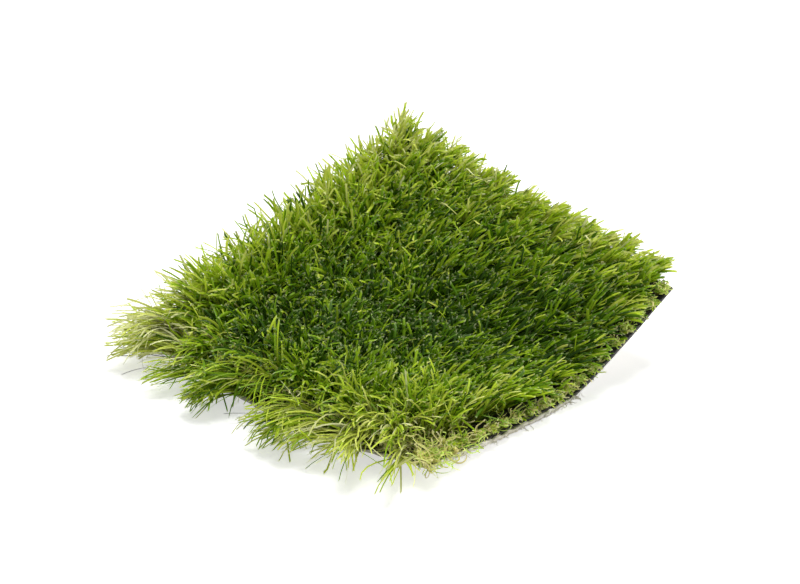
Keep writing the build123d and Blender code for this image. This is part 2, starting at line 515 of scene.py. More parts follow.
# %% Finish of the woven backing
def woven_finish():
    """Black polypropylene tape, a little shiny on the crowns and dusty between them. Its colour is lighter
    on the crowns and darker in the hollows: painted sheen and painted shade.
    """
    material, tree, shader = new_material("black woven tape")
    place = place_node(tree, "ShaderNodeTexCoord").outputs["Object"]
    weave = place_node(tree, "ShaderNodeGroup", {"Map": place}, node_tree=plain_weave).outputs
    dust = place_node(tree, "ShaderNodeGroup", node_tree=mottle).outputs
    # Painted sheen and shade: the black is lighter where the weave is high and darker where it is low
    tape = blend_colours(tree, weave["Height"], paint(10, 10, 9), paint(30, 30, 28))
    dust_share = calculate(tree, "MULTIPLY", dust["Specks"], 0.18)
    colour = blend_colours(tree, dust_share, tape, paint(96, 90, 72))
    rough = spread(tree, weave["Height"], 0.0, 1.0, 0.75, 0.42)
    dress(tree, shader, colour, rough, height=weave["Height"], strength=0.8, depth=0.0004)
    return material


weave_finish = woven_finish()
print("backing finish:", weave_finish.name)

# %% Woven backing
# How far along the bare edge the coat squeezes out, before it has broken back under the weave
LIP_END = 84.0
# How far the weave is set back inside the outline, and how much less where the coat has broken back
WEAVE_SETBACK, KNIFE_WANDER, WEAVE_BARED = 0.75, 0.08, 0.7
WEAVE_UNEVEN = 0.1
# Each edge's shift and axis to the next line of the grid inside it
NEXT_LINE = {"front": (1, 0), "back": (-1, 0), "cut": (1, 1), "far": (-1, 1)}


def clean_cut(along, across, edges):
    """The backing's outline, with the knife's small wander, a little inside the coat's lip."""
    back = WEAVE_SETBACK + KNIFE_WANDER * ripple(along, across, seed=11)
    back = np.where(edges["cut"] & (along > LIP_END), back - WEAVE_BARED, back)
    near = {name: edges[name] | np.roll(edges[name], *step) for name, step in NEXT_LINE.items()}
    return (along + np.where(near["front"], back, 0) - np.where(near["back"], back, 0),
            across + np.where(near["cut"], back, 0) - np.where(near["far"], back, 0))


def weave_underside(along, across):
    """Level of the backing's lower face, flat on the coat."""
    return np.full(along.shape, COAT)


def weave_top(along, across):
    """Level of the backing's upper face."""
    return COAT + BACKING + WEAVE_UNEVEN * ripple(along, across, seed=12)


backing = closed_sheet("woven_backing", 120, 120, weave_underside, weave_top, clean_cut, weave_finish)

# %% [markdown]
# The coat is latex filled with chalk. It was spread wet over the back stitches, so each row shows
# through as a soft ridge with a dip at every needle hole. A bump in the finish would show that
# square on but not from low down, so the ridges are levels of the lower face. At the front corner
# and along the first half of the bare edge the coat squeezes out as a lumpy pale line. Past the
# middle it has broken back under the weave, and there the edge looks black.

# %% Levels of the latex coat
# The rows and stitches, as in the CAD model
ROW_GAUGE, STITCH_PITCH, EDGE_MARGIN = 9.5, 7.8, 2.0
ROWS = int((SHEET - 2 * EDGE_MARGIN) / ROW_GAUGE) + 1
STITCHES = int((SHEET - 2 * EDGE_MARGIN) / STITCH_PITCH) + 1
FIRST_ROW = (SHEET - (ROWS - 1) * ROW_GAUGE) / 2
FIRST_STITCH = (SHEET - (STITCHES - 1) * STITCH_PITCH) / 2
# How far a hollow between the rows goes up, and how much of it each row's ridge fills
COAT_HOLLOW, COAT_UNEVEN = 0.42, 0.1
RIDGE_REACH, RIDGE_FULLNESS, NEEDLE_DIP = 1.5, 0.8, 0.25
# The squeezed-out lip beside the cut, which is lower along the front
LIP_FADE = 4.0
LIP_RISE, LIP_UNEVEN, LEAST_LIP, MOST_LIP, FRONT_LIP = 1.0, 0.3, 0.2, 1.6, 0.8


def fade(distance, reach, power=2):
    """One at no distance, falling smoothly towards none past the reach."""
    return np.exp(-(distance / reach) ** power)


def coat_underside(along, across):
    """Level of the coat's lower face: full over the back stitches, thin between the rows."""
    off_row = (across - FIRST_ROW + ROW_GAUGE / 2) % ROW_GAUGE - ROW_GAUGE / 2
    beat = np.cos(math.tau * (along - FIRST_STITCH) / STITCH_PITCH)
    ridge = fade(off_row, RIDGE_REACH) * (RIDGE_FULLNESS - NEEDLE_DIP * beat)
    uneven = COAT_UNEVEN * ripple(along, across, seed=21, shortest=4, longest=16)
    return np.maximum(COAT_HOLLOW - COAT_HOLLOW * ridge + uneven, 0.0)


def lip_share(along):
    """One where the coat squeezes out past the cut, falling to none where it has broken back."""
    return 1 / (1 + np.exp((along - LIP_END) / LIP_FADE))


def coat_top(along, across):
    """Level of the coat's upper face: flat under the weave, with a lip that rises beside the cut."""
    at_edge = np.zeros(along.shape, dtype=bool)
    at_edge[:2, :] = at_edge[:, :2] = True
    rise = LIP_RISE + LIP_UNEVEN * ripple(along, across, seed=24, shortest=2.5, longest=7)
    rise = np.clip(rise, LEAST_LIP, MOST_LIP) * np.where(across > LIP, FRONT_LIP, lip_share(along))
    return COAT + np.where(at_edge, rise, 0)


print("rows:", ROWS, "stitches in a row:", STITCHES)


# %% Finish of the latex coat
def coat_finish():
    """Off-white filled latex, with yellowed patches and specks of grit."""
    material, tree, shader = new_material("filled latex")
    age = place_node(tree, "ShaderNodeGroup", {"Patch scale": 45.0, "Speck scale": 700.0},
                     node_tree=mottle).outputs
    base = blend_colours(tree, age["Patches"], paint(246, 243, 234), paint(230, 224, 206))
    grit = calculate(tree, "MULTIPLY", age["Specks"], 0.25)
    colour = blend_colours(tree, grit, base, paint(150, 140, 116))
    rough = spread(tree, age["Patches"], 0.0, 1.0, 0.5, 0.7)
    dress(tree, shader, colour, rough, height=age["Specks"], strength=0.5, depth=0.0003)
    return material


latex_finish = coat_finish()
print("coat finish:", latex_finish.name)

# %% Latex coat
LUMP_SIZE, LUMP_UNEVEN, FRONT_LUMPS, BROKEN_BACK = 0.75, 0.35, 0.3, 0.5
RAGGED_SIZE, RAGGED_UNEVEN = 0.15, 0.2


def coat_outline(along, across, edges):
    """The coat's edge: squeezed out in lumps along the first half of the cut, broken back after it."""
    share = lip_share(along)
    lumps = LUMP_SIZE + LUMP_UNEVEN * ripple(along, across, seed=22, shortest=2.5, longest=8)
    ragged = RAGGED_SIZE + RAGGED_UNEVEN * ripple(along, across, seed=23, shortest=3, longest=9)
    past_cut = np.where(edges["cut"], lumps * share - BROKEN_BACK * (1 - share), 0)
    past_front = np.where(edges["front"], ragged + FRONT_LUMPS * lumps, 0)
    return (along - past_front + np.where(edges["back"], ragged, 0),
            across - past_cut + np.where(edges["far"], ragged, 0))


coat = closed_sheet("filled_latex_coat", 130, 240, coat_underside, coat_top, coat_outline, latex_finish)

# %% [markdown]
# ## Growing strands
#
# A blade, a thatch fibre and a frayed thread are all the same thing: a line that leaves the sheet
# in one direction, ends in another, and carries a narrow ribbon along it. Curve objects could do
# this, but thousands of them would be slow to make and to turn into meshes. So one function grows
# the lines and another clothes them. A strand that would pass through the sheet or the floor lies
# down on it.

# %% Where the sheet is under a strand
RUNS = np.linspace(-60, 230, 1500)
STRAND_CLEARANCE = 0.4


def ground_under(places):
    """Height of the sheet's face under each place, or of the floor where the place is past the cut."""
    across = places[:, 1] + REST_Y
    forward = (places[:, 0] + REST_X) * math.cos(CURL_TURN) + across * math.sin(CURL_TURN)
    run = np.interp(forward, curl(RUNS)[0], RUNS)
    along = (run - across * math.sin(CURL_TURN)) / math.cos(CURL_TURN)
    inside = (along > -front_edge(across)) & (along < SHEET) & (across > 0) & (across < SHEET)
    face = underside(along, across)[:, 2] + (COAT + BACKING) / sheet_axes(along, across)[2][:, 2]
    return np.where(inside, face, 0) + STRAND_CLEARANCE


print("a strand over the origin stays above", ground_under(np.zeros((1, 3)))[0].round(2), "mm")

# %% Grow the centre lines
RING_CROWDING = 0.8


def ring_shares(steps):
    """How far along a strand its rings are: closer together towards the tip, where it bends most."""
    return (np.arange(steps + 1) / steps) ** RING_CROWDING


def grow(roots, first_way, last_way, lengths, steps, crimp, bend=1.25, fold=None):
    """Centre lines and directions of many strands at once, from their roots to their tips."""
    count = len(roots)
    places = np.empty((count, steps + 1, 3))
    ways = np.empty((count, steps + 1, 3))
    places[:, 0] = roots
    shares = ring_shares(steps)
    for step, share in enumerate(shares):
        turned = share ** np.broadcast_to(bend, count)[:, None]
        angle = crimp["start"] + math.tau * crimp["turns"] * share
        way = first_way * (1 - turned) + last_way * turned + crimp["size"][:, None] * (
            np.cos(angle)[:, None] * crimp["side"] + np.sin(angle)[:, None] * crimp["back"])
        if fold is not None:
            way = way + (share > fold["share"])[:, None] * fold["turn"]
        ways[:, step] = unit(way)
        if step:
            travel = lengths * (share - shares[step - 1])
            places[:, step] = places[:, step - 1] + ways[:, step] * travel[:, None]
            places[:, step, 2] = np.maximum(places[:, step, 2], ground_under(places[:, step]))
    return places, ways


print("rings along a strand of seven steps:", ring_shares(7).round(2).tolist())

# %% The way a ribbon faces
# A straight strand has no bend to lie in, so a little of this is added to every strand's
SPARE_BEND_AXIS = 0.02 * np.array([0.3, 1.0, 0.1])


def ribbon_sides(ways, roll, twist):
    """Across a ribbon and square off its face, at each ring. It bends flat-wise, then it twists."""
    bend_axis = np.cross(ways[:, 0], ways[:, -1]) + SPARE_BEND_AXIS
    side = unit(bend_axis[:, None] - ways * (ways * bend_axis[:, None]).sum(-1, keepdims=True))
    face = np.cross(ways, side)
    angle = (roll[:, None] + twist[:, None] * ring_shares(ways.shape[1] - 1))[..., None]
    return side * np.cos(angle) + face * np.sin(angle), face * np.cos(angle) - side * np.sin(angle)


# %% Clothe the lines with ribbons
ROOT_WIDTH, WIDENING_STRETCH, TIP_TAPER = 0.62, 0.25, 0.18
LOWEST_POINT = 0.1
# A ribbon's share of its tint's strip of the map, to each side of the strip's middle
STRIP_HALF = 0.42


def ribbon_points(places, ways, shape, across):
    """The points of a ribbon on each centre line: dished, and cut off at a slant at its tip."""
    share = ring_shares(places.shape[1] - 1)
    side, face = ribbon_sides(ways, shape["roll"], shape["twist"])
    widening = ROOT_WIDTH + (1 - ROOT_WIDTH) * np.minimum(share / WIDENING_STRETCH, 1)
    half = 0.5 * shape["width"][:, None] * widening * (1 - TIP_TAPER * share ** 4)
    dish = (half * shape["dish"][:, None])[..., None, None] * (1 - across ** 2)[:, None]
    points = places[:, :, None] + side[:, :, None] * (half[..., None] * across)[..., None]
    points = points + face[:, :, None] * dish
    points[:, -1] += ways[:, -1][:, None] * (shape["slant"][:, None] * across)[..., None]
    points[..., 2] = np.maximum(points[..., 2], LOWEST_POINT)
    return points


def ribbons(places, ways, shape, tints, tint_count, columns):
    """A ribbon on each centre line: its points, faces and flat map."""
    across = np.linspace(-1, 1, columns)
    points = ribbon_points(places, ways, shape, across)
    number = np.arange(points.size // 3).reshape(points.shape[:3])
    lower, upper = number[:, :-1], number[:, 1:]
    quads = np.stack([lower[..., :-1], lower[..., 1:], upper[..., 1:], upper[..., :-1]], axis=-1)
    quads = quads.reshape(-1, 4)
    share = ring_shares(places.shape[1] - 1)[:, None]
    strip = np.clip((tints * tint_count).astype(int), 0, tint_count - 1)
    map_x = (strip[:, None, None] + 0.5 + STRIP_HALF * across) / tint_count + 0 * share
    map_y = MAP_MARGIN + (1 - 2 * MAP_MARGIN) * share + 0 * map_x
    flat = np.stack([map_x, map_y], axis=-1).reshape(-1, 2)
    return points.reshape(-1, 3), quads, flat[quads]


print("a ribbon's root is", ROOT_WIDTH, "of its full width")

# %% [markdown]
# ## How the pile lies
#
# Turf that has been wound and handled doesn't stand straight. Over the right half the blades are
# combed to the right and lie low. Along the front left edge they fall outwards and down to the
# floor, at the left corner they point out past it, and in the middle they bend over every way.
# It could be combed by hand as hair is, but that couldn't be run again. These are broad movements,
# so a few smooth zones of the sheet describe them, and each tuft and each blade then adds its own
# chance to them.

# %% Zones of the pile
# The ways to the diamond's right and back corners, along and across the rows
TO_RIGHT, TO_BACK = np.array([0.69, -0.72]), np.array([0.72, 0.69])
LEFT_REACH = 29.0


def step_up(value, middle, width):
    """A smooth step from none to one."""
    return 1 / (1 + np.exp(-(value - middle) / width))


def diamond_place(along, across):
    """The sheet lies as a diamond: how far right a place is, from 0 at the left corner to 1 at the
    right one, and how far back, from 0 at the front corner to 2 at the back one."""
    return (along - across + SHEET) / (2 * SHEET), (along + across) / SHEET


def near_left_corner(along, across, reach=LEFT_REACH):
    """One at the left corner, falling to none away from it."""
    return fade(np.hypot(along, across - SHEET), reach)


def pile_zones(along, across):
    """How far each zone of the pile reaches a place: one well inside it, none far from it."""
    side, depth = diamond_place(along, across)
    return {
        "anywhere": 1.0,
        "front": fade(np.maximum(along + front_edge(across) - 3, 0), reach=12, power=1.7),
        "raised": fade(SHEET - along, reach=12, power=1),
        "far": fade(SHEET - across, reach=16) * (1 - step_up(along, middle=132, width=6)),
        "left": near_left_corner(along, across),
        "combed": step_up(side, middle=0.52, width=0.07),
        "near": 1 - step_up(depth, middle=0.42, width=0.08),
    }


middle = pile_zones(np.array([SHEET / 2]), np.array([SHEET / 2]))
print("zones in the middle:", {name: round(float(np.squeeze(share)), 2) for name, share in middle.items()})

# %% Lean of the pile
# How much a tip stands up, and its travel to the right for each millimetre of height, by zone
STANDING = {"anywhere": 0.3, "combed": -0.2, "near": 0.5, "raised": -0.08}
RIGHTWARDS = {"anywhere": 0.42, "combed": 1.25, "near": -0.15}
BACKWARDS, PAST_RAISED_EDGE = 0.1, 0.2
# These zones then take over: the share of the lean so far that each undoes, its own lean along and
# across the rows, the share of the standing that it undoes, and its own standing
TAKING_OVER = (
    ("far", 0.9, np.array([0, 0.3]), 0, 1.0),
    ("front", 1, np.array([-1.6, 0.15]), 1, -0.45),
    ("left", 1, -(1.9 * TO_RIGHT + 0.3 * TO_BACK), 1, -0.05),
)


def weigh(amounts, zones):
    """The sum of amounts, each as far as its zone reaches."""
    return sum(amount * zones[name] for name, amount in amounts.items())


def pile_lean(along, across):
    """The pile's lean along and across the rows, how much its tips stand up, how low its roots set
    off, and how far it is combed to the right."""
    zones = pile_zones(along, across)
    upright = weigh(STANDING, zones)
    lean = weigh(RIGHTWARDS, zones)[:, None] * TO_RIGHT + BACKWARDS * TO_BACK
    lean[:, 0] += PAST_RAISED_EDGE * zones["raised"]
    for name, undone, own_lean, laid, own_standing in TAKING_OVER:
        zone = zones[name]
        lean = lean * (1 - undone * zone)[:, None] + zone[:, None] * own_lean
        upright = upright * (1 - laid * zone) + own_standing * zone
    return lean, upright, np.maximum(zones["front"], zones["left"]), zones["combed"]


middle_lean = pile_lean(np.array([SHEET / 2]), np.array([SHEET / 2]))[0]
print("lean in the middle, for each mm of height:", middle_lean.round(2).tolist())

# %% Where the yarn is painted pale or dark, mostly for light and shade
# How much paler each zone is painted, and the band across the middle darker: painted light and shade
# At the front corner it is partly paler yarn and partly painted light; the middle band is painted shade
# Round the edge, at the left corner, at the back and up the raised side this is painted light from behind
PAINTED_LIGHT_AND_TONE = {"edge": 0.75, "front": 0.72, "left": 1.2, "back": 0.6, "right": 1.3, "middle": -0.3}


def painted_light_and_tone(along, across):
    """Where the yarn is painted palest: all round the edge, at the front and left corners and up the
    raised side, mostly painted light for light from behind catching the blades, and at the front
    partly paler yarn. A band across the middle is painted darker, as painted shade."""
    side, depth = diamond_place(along, across)
    nearest = np.minimum(np.minimum(along + front_edge(across), SHEET - along), SHEET - across)
    inside = np.maximum(nearest, 0)
    return weigh(PAINTED_LIGHT_AND_TONE, {
        "edge": fade(inside, reach=9, power=1),
        "front": fade(depth, reach=0.44),
        "left": near_left_corner(along, across, reach=26.0),
        "back": np.clip(depth - 1.1, 0, 1),
        "right": np.clip(side - 0.55, 0, 1),
        # The darker band across the middle is painted shade
        "middle": fade(depth - 0.78, reach=0.26) * (1 - fade(inside, reach=14, power=1)),
    })


front_and_middle = painted_light_and_tone(np.array([0, SHEET / 2]), np.array([0, SHEET / 2]))
print("paleness at the front corner and in the middle:", front_and_middle.round(2).tolist())

# %% [markdown]
# ## Blades
#
# Each needle hole holds a folded bundle of ribbons. How many isn't known, and sixty look as dense
# as the real pile. One tuft could be drawn and copied, but the eye soon finds the copies, so every
# blade is its own. They fan out, they bend flat-wise because a ribbon can't bend on its edge, up
# to two in five have been creased, and each was sheared to length with a slightly slanting cut.

# %% Strands of one row
ROOT_LEVEL = COAT + 0.3
ROOT_SPREAD = (0.65, 0.45)
TUFT_STRAY = 0.25
# At the raised edge nothing stands behind the last tufts of a row, so they are fuller
FULL_TUFTS, EDGE_FULLNESS = 2, 1.6


def tuft_strands(row, per_tuft, chance):
    """Each strand's place, its tuft's own lean, its way out of the tuft, and if it is in the first."""
    row_across = FIRST_ROW + row * ROW_GAUGE
    extra = int((front_edge(row_across) + FIRST_STITCH - EDGE_MARGIN) / STITCH_PITCH)
    in_tuft = np.full(STITCHES + extra, per_tuft)
    in_tuft[-FULL_TUFTS:] = per_tuft * EDGE_FULLNESS
    stitch = np.repeat(np.arange(-extra, STITCHES), in_tuft)
    count = len(stitch)
    lean = chance.normal(0, TUFT_STRAY, (STITCHES + extra, 2))[stitch + extra]
    heading = chance.uniform(0, math.tau, count)
    reach = np.abs(chance.normal(0, 1.0, count))
    fan = np.stack([np.cos(heading), np.sin(heading)], axis=-1) * reach[:, None]
    along = FIRST_STITCH + stitch * STITCH_PITCH
    along = along + ROOT_SPREAD[0] * np.cos(heading) * chance.uniform(0.2, 1, count)
    across = row_across + ROOT_SPREAD[1] * np.sin(heading) * chance.uniform(0.2, 1, count)
    return {"along": along, "across": across, "lean": lean, "fan": fan, "first": stitch == -extra}


print("strands in a row of 60 to the tuft:", len(tuft_strands(0, 60, np.random.default_rng(0))["along"]))

# %% Which way a blade grows
# The first tuft of a row leans as if it stood this far from the front edge
FIRST_TUFT_INSET = 2.0
CUT_ROW_LEAN, BLADES_OVER_CUT = 0.2, 0.9
# How much of its lean a blade has at its root, and how much more where it is combed or lies low
ROOT_LEAN, COMBED_ROOT_LEAN, LOW_ROOT_LEAN = 0.3, 0.15, 1.1
ROOT_FAN, TIP_FAN, TIP_FAN_LOST = 0.16, 1.4, 0.9
TIP_STRAY = 0.3


def in_space(axes, sideways, off_sheet):
    """Directions in space, from amounts along and across the rows, and off the sheet."""
    row_way, cross_way, off_way = axes
    return off_way * off_sheet + row_way * sideways[:, :1] + cross_way * sideways[:, 1:]


def over_cut(lean, outwards):
    """The lean of the row beside the bare edge: less than the pile's, and outwards over the cut."""
    return CUT_ROW_LEAN * lean + np.array([0, -outwards])


def blade_ways(row, strands, axes, chance):
    """How a row's blades set off and end, how low each lies, and how far it is laid down at all,
    by falling low or by being combed."""
    inset = FIRST_TUFT_INSET - front_edge(strands["across"])
    lean_along = np.where(strands["first"], inset, strands["along"])
    lean, upright, low, combed = pile_lean(lean_along, strands["across"])
    lean = lean + (1 + low)[:, None] * strands["lean"]
    if row == 0:
        lean, low = over_cut(lean, BLADES_OVER_CUT), 0 * low
    laid = np.maximum(combed, low)
    early = ROOT_LEAN + COMBED_ROOT_LEAN * combed + LOW_ROOT_LEAN * low * chance.random(len(low))
    fan = strands["fan"] * (TIP_FAN - TIP_FAN_LOST * laid)[:, None]
    first_way = in_space(axes, early[:, None] * lean + ROOT_FAN * fan, 1.0)
    upright = upright + chance.normal(0, TIP_STRAY, len(low))
    return first_way, in_space(axes, lean + fan, upright[:, None]), low, laid


print("share of its lean that a standing blade has at its root:", ROOT_LEAN)

# %% How long a blade is
BLADE_LENGTH = 28.0
# Shortest, usual and longest, as shares of that
SHEARED = (0.55, 0.92, 1.06)
CUT_ROW_LENGTHS = (4.5, 9.0)
LOW_GROWTH, FIRST_TUFT_GROWTH, FAR_GROWTH, RAISED_SHEAR, LEFT_SHEAR = 0.2, 0.8, 0.24, 0.34, 0.15


def blade_lengths(row, strands, low, chance):
    """Each blade's length: longer at the front and far edges, shorter at the left corner and up the
    raised side. Beside the bare edge all are stubs."""
    along, across, first = strands["along"], strands["across"], strands["first"]
    lengths = BLADE_LENGTH * chance.triangular(*SHEARED, len(low)) * (1 + LOW_GROWTH * low)
    lengths[first] += FIRST_TUFT_GROWTH * (along + front_edge(across))[first]
    lengths *= 1 + FAR_GROWTH * fade(SHEET - across, reach=18) * (1 - step_up(along, middle=112, width=8))
    away_from_far = np.clip((SHEET + 4 - across) / 45, 0, 1)
    lengths *= 1 - RAISED_SHEAR * fade(SHEET - along, reach=30, power=1) * away_from_far
    lengths *= 1 - LEFT_SHEAR * near_left_corner(along, across)
    return chance.uniform(*CUT_ROW_LENGTHS, len(low)) if row == 0 else lengths


print("most blades are sheared to about", round(BLADE_LENGTH * SHEARED[1], 1), "mm")

# %% How a blade is bent
CREASED, CREASED_LOST = 0.42, 0.26
CREASE_PLACE, CREASE_TURN = (0.5, 0.85), 0.8
BLADE_TURNS, BLADE_CRIMP, BLADE_CRIMP_LOST = (0.3, 1.2), 0.55, 0.6


def crimp_turns(chance, count, turns):
    """Where the crimp of each strand starts, and how many turns it makes, either way round."""
    return {
        "start": chance.uniform(0, math.tau, count),
        "turns": chance.uniform(*turns, count) * chance.choice([-1, 1], count),
    }


def blade_bends(laid, axes, chance):
    """Each blade's crease, and the slow wander along it. Blades that are laid down have less."""
    count = len(laid)
    creased = (chance.random(count) < CREASED - CREASED_LOST * laid)[:, None]
    place = chance.uniform(*CREASE_PLACE, count)
    fold = {"share": place, "turn": creased * chance.normal(0, CREASE_TURN, (count, 3))}
    crimp = crimp_turns(chance, count, BLADE_TURNS)
    crimp["size"] = np.abs(chance.normal(0, BLADE_CRIMP, count)) * (1 - BLADE_CRIMP_LOST * laid)
    crimp["side"], crimp["back"], _ = axes
    return fold, crimp


print("share of blades creased, standing and laid:", CREASED, round(CREASED - CREASED_LOST, 2))

# %% Rows of blades
BLADE_SEED, BLADE_STEPS, BLADE_COLUMNS = 100, 7, 3
BLADES_PER_TUFT = 60
# Fewer in the two rows beside the bare edge, and more in the row along the far edge
BLADES_IN_ROW = {0: 7, 1: 34, ROWS - 1: 84}
# The higher the bend, the nearer to its tip a blade bends
BLADE_BEND, BLADE_BEND_LOST = 3.0, 1.5
# A blade's place among the yarn's colours, from 0 at the darkest to 1 at the palest
TINT_START, TINT_LIGHT_AND_TONE, TINT_STRAY = 0.2, 0.5, 0.22
# Past this x, blades that reach out over the floor are drawn back, into this much room
OUTER_BLADES, OUTER_ROOM = -77.0, 7.2


def draw_back(places):
    """Move the places past the outer line smoothly back into the room beyond it."""
    past = np.minimum(places[..., 0] - OUTER_BLADES, 0)
    places[..., 0] += OUTER_ROOM * (np.exp(past / OUTER_ROOM) - 1) - past


def blade_row(row):
    """All the green ribbons of one row."""
    chance = np.random.default_rng(BLADE_SEED + row)
    strands = tuft_strands(row, BLADES_IN_ROW.get(row, BLADES_PER_TUFT), chance)
    along, across = strands["along"], strands["across"]
    count = len(along)
    axes = sheet_axes(along, across)
    first_way, last_way, low, laid = blade_ways(row, strands, axes, chance)
    lengths = blade_lengths(row, strands, low, chance)
    fold, crimp = blade_bends(laid, axes, chance)
    roots = sheet_place(along, across, np.full(count, ROOT_LEVEL))
    places, ways = grow(roots, unit(first_way), unit(last_way), lengths, BLADE_STEPS, crimp,
                        bend=BLADE_BEND - BLADE_BEND_LOST * laid, fold=fold)
    draw_back(places)
    # Blades are tinted paler where light from behind catches them and darker in the middle band: painted
    # light and painted shade
    tint = TINT_START + TINT_LIGHT_AND_TONE * painted_light_and_tone(along, across)
    tints = np.clip(chance.normal(tint, TINT_STRAY, count), 0, 0.999)
    shape = {
        "roll": chance.normal(0, 0.55, count),
        "twist": chance.normal(0, 0.6, count),
        "width": chance.uniform(0.65, 1.3, count) * (1 - 0.3 * low),
        "dish": chance.uniform(0.15, 0.5, count),
        "slant": chance.uniform(-0.8, 0.8, count),
    }
    ribbon_mesh = ribbons(places, ways, shape, tints, BLADE_TINTS, BLADE_COLUMNS)
    return mesh_piece(f"blades_row_{row + 1:02d}", *ribbon_mesh, blade_finish)


blade_rows = [blade_row(row) for row in range(ROWS)]
print("blade rows:", len(blade_rows), "faces:", sum(len(piece.data.polygons) for piece in blade_rows))

# %% [markdown]
# ## Thatch
#
# The thatch is crimped yarn, so each fibre wanders in loops as it climbs between the blades. It
# could be a rough surface under them, but its loops show at the cut edge. Hardly a blade grows
# there, so the thatch stands in separate curly stubs, with black weave between them, and some of
# it hangs out over the cut.

# %% Lines of the thatch
THATCH_PER_TUFT, STUB_FIBRES = 22, 36
THATCH_LENGTHS, STUB_LENGTHS = (13, 20, 28), (8, 15)
COMBED_SHEAR = 0.3
THATCH_LEAN, THATCH_FAN, STUB_FAN = 0.5, 0.75, 0.4
THATCH_STANDING, THATCH_UPRIGHT, THATCH_ROOT_LEAN = 0.55, 0.35, 0.3
THATCH_STEPS, THATCH_TURNS, THATCH_CRIMP, LOOP_TILT = 14, (1.2, 3.0), (0.7, 1.5), 0.6
# How far a stub leans out over the cut and how much lower it is, and how much more so if it hangs
STUB_OUT, HANG_OUT, STUB_LOW, HANG_LOW = 0.2, 4.0, 0.4, 2.2


def tilted(way, off_way, chance):
    """Ways along the sheet, each tilted up or down by chance, so that no two loops lie alike."""
    return unit(way + LOOP_TILT * chance.normal(0, 1, (len(way), 1)) * off_way)


def thatch_lines(row, chance):
    """Centre lines and directions of one row's crimped fibres."""
    stub = row == 0
    strands = tuft_strands(row, STUB_FIBRES if stub else THATCH_PER_TUFT, chance)
    along, across = strands["along"], strands["across"]
    count = len(along)
    axes = sheet_axes(along, across)
    lean, upright, _, combed = pile_lean(along, across)
    if stub:
        hang = chance.random(count)
        lean = over_cut(lean, STUB_OUT)
        lean[:, 1] -= HANG_OUT * hang
        upright = upright - STUB_LOW - HANG_LOW * hang ** 2
        lengths = chance.uniform(*STUB_LENGTHS, count)
    else:
        lengths = chance.triangular(*THATCH_LENGTHS, count) * (1 - COMBED_SHEAR * combed)
    sideways = THATCH_LEAN * lean + (STUB_FAN if stub else THATCH_FAN) * strands["fan"]
    last_way = in_space(axes, sideways, (THATCH_STANDING + THATCH_UPRIGHT * upright)[:, None])
    crimp = crimp_turns(chance, count, THATCH_TURNS)
    crimp["size"] = chance.uniform(*THATCH_CRIMP, count)
    crimp["side"], crimp["back"] = axes[0], tilted(axes[1], axes[2], chance)
    roots = sheet_place(along, across, np.full(count, ROOT_LEVEL))
    first_way = unit(axes[2] + THATCH_ROOT_LEAN * last_way)
    return grow(roots, first_way, unit(last_way), lengths, THATCH_STEPS, crimp)


# %% Rows of thatch
THATCH_SEED, FIBRE_COLUMNS = 300, 2
# Beside the cut the light reaches a fibre's root, so its map leaves out the shaded part
STUB_MAP_START, STUB_MAP_LENGTH = 0.55, 0.44


def fibre_shape(chance, count, twist):
    """The roll and twist of thin fibres, which aren't dished and are cut straight."""
    return {
        "roll": chance.uniform(0, math.pi, count),
        "twist": chance.normal(0, twist, count),
        "dish": np.zeros(count),
        "slant": np.zeros(count),
    }


def thatch_row(row):
    """All the crimped fibres of one row."""
    chance = np.random.default_rng(THATCH_SEED + row)
    places, ways = thatch_lines(row, chance)
    count = len(places)
    tints = np.clip(chance.beta(1.9, 1.4, count), 0, 0.999)
    shape = fibre_shape(chance, count, 2.0)
    shape["width"] = chance.uniform(0.4, 0.7, count)
    points, quads, flat = ribbons(places, ways, shape, tints, THATCH_TINTS, FIBRE_COLUMNS)
    if row == 0:
        flat[..., 1] = STUB_MAP_START + STUB_MAP_LENGTH * flat[..., 1]
    return mesh_piece(f"thatch_row_{row + 1:02d}", points, quads, flat, thatch_finish)


thatch_rows = [thatch_row(row) for row in range(ROWS)]
print("thatch rows:", len(thatch_rows), "faces:", sum(len(piece.data.polygons) for piece in thatch_rows))

# %% [markdown]
# ## Loose ends
#
# A hand-cut sample frays. At the front corner the cut ran along the rows and left a nest of crimped
# ends. Along the bare edge, wisps of the coat's own fibre stick out of the latex, and past the
# middle the black tapes end in short stubs. A few dark threads have pulled out of the weave at the
# left and lie among the blades. All are strands again, placed by where on the outline they start.

# %% Strands from the outline
LOOSE_STEPS, LOOSE_TURNS, LOOSE_STRAY = 16, (0.8, 2.2), 0.3
# Light reaches the whole of a loose end, so its map leaves out the shaded part
LOOSE_MAP_START, LOOSE_MAP_LENGTH = 0.5, 0.49


def outline_lines(chance, along, across, outward, length, curly, droop):
    """Centre lines and directions of loose strands that leave the sheet at given places and ways."""
    count = len(along)
    row_way, cross_way, off_way = sheet_axes(along, across)
    flat_way = row_way * outward[:, :1] + cross_way * outward[:, 1:]
    stray = chance.normal(0, LOOSE_STRAY, (count, 3))
    crimp = crimp_turns(chance, count, LOOSE_TURNS)
    crimp["size"] = curly * chance.uniform(0.5, 1.5, count)
    crimp["side"] = unit(flat_way + 0.4 * stray)
    crimp["back"] = tilted(np.cross(flat_way, off_way), off_way, chance)
    roots = sheet_place(along, across, chance.uniform(0.5, COAT + 0.4, count))
    first_way = unit(flat_way + off_way * (0.3 - 0.3 * droop) + stray)
    last_way = unit(flat_way + stray - off_way * droop)
    return grow(roots, first_way, last_way, length, LOOSE_STEPS, crimp)


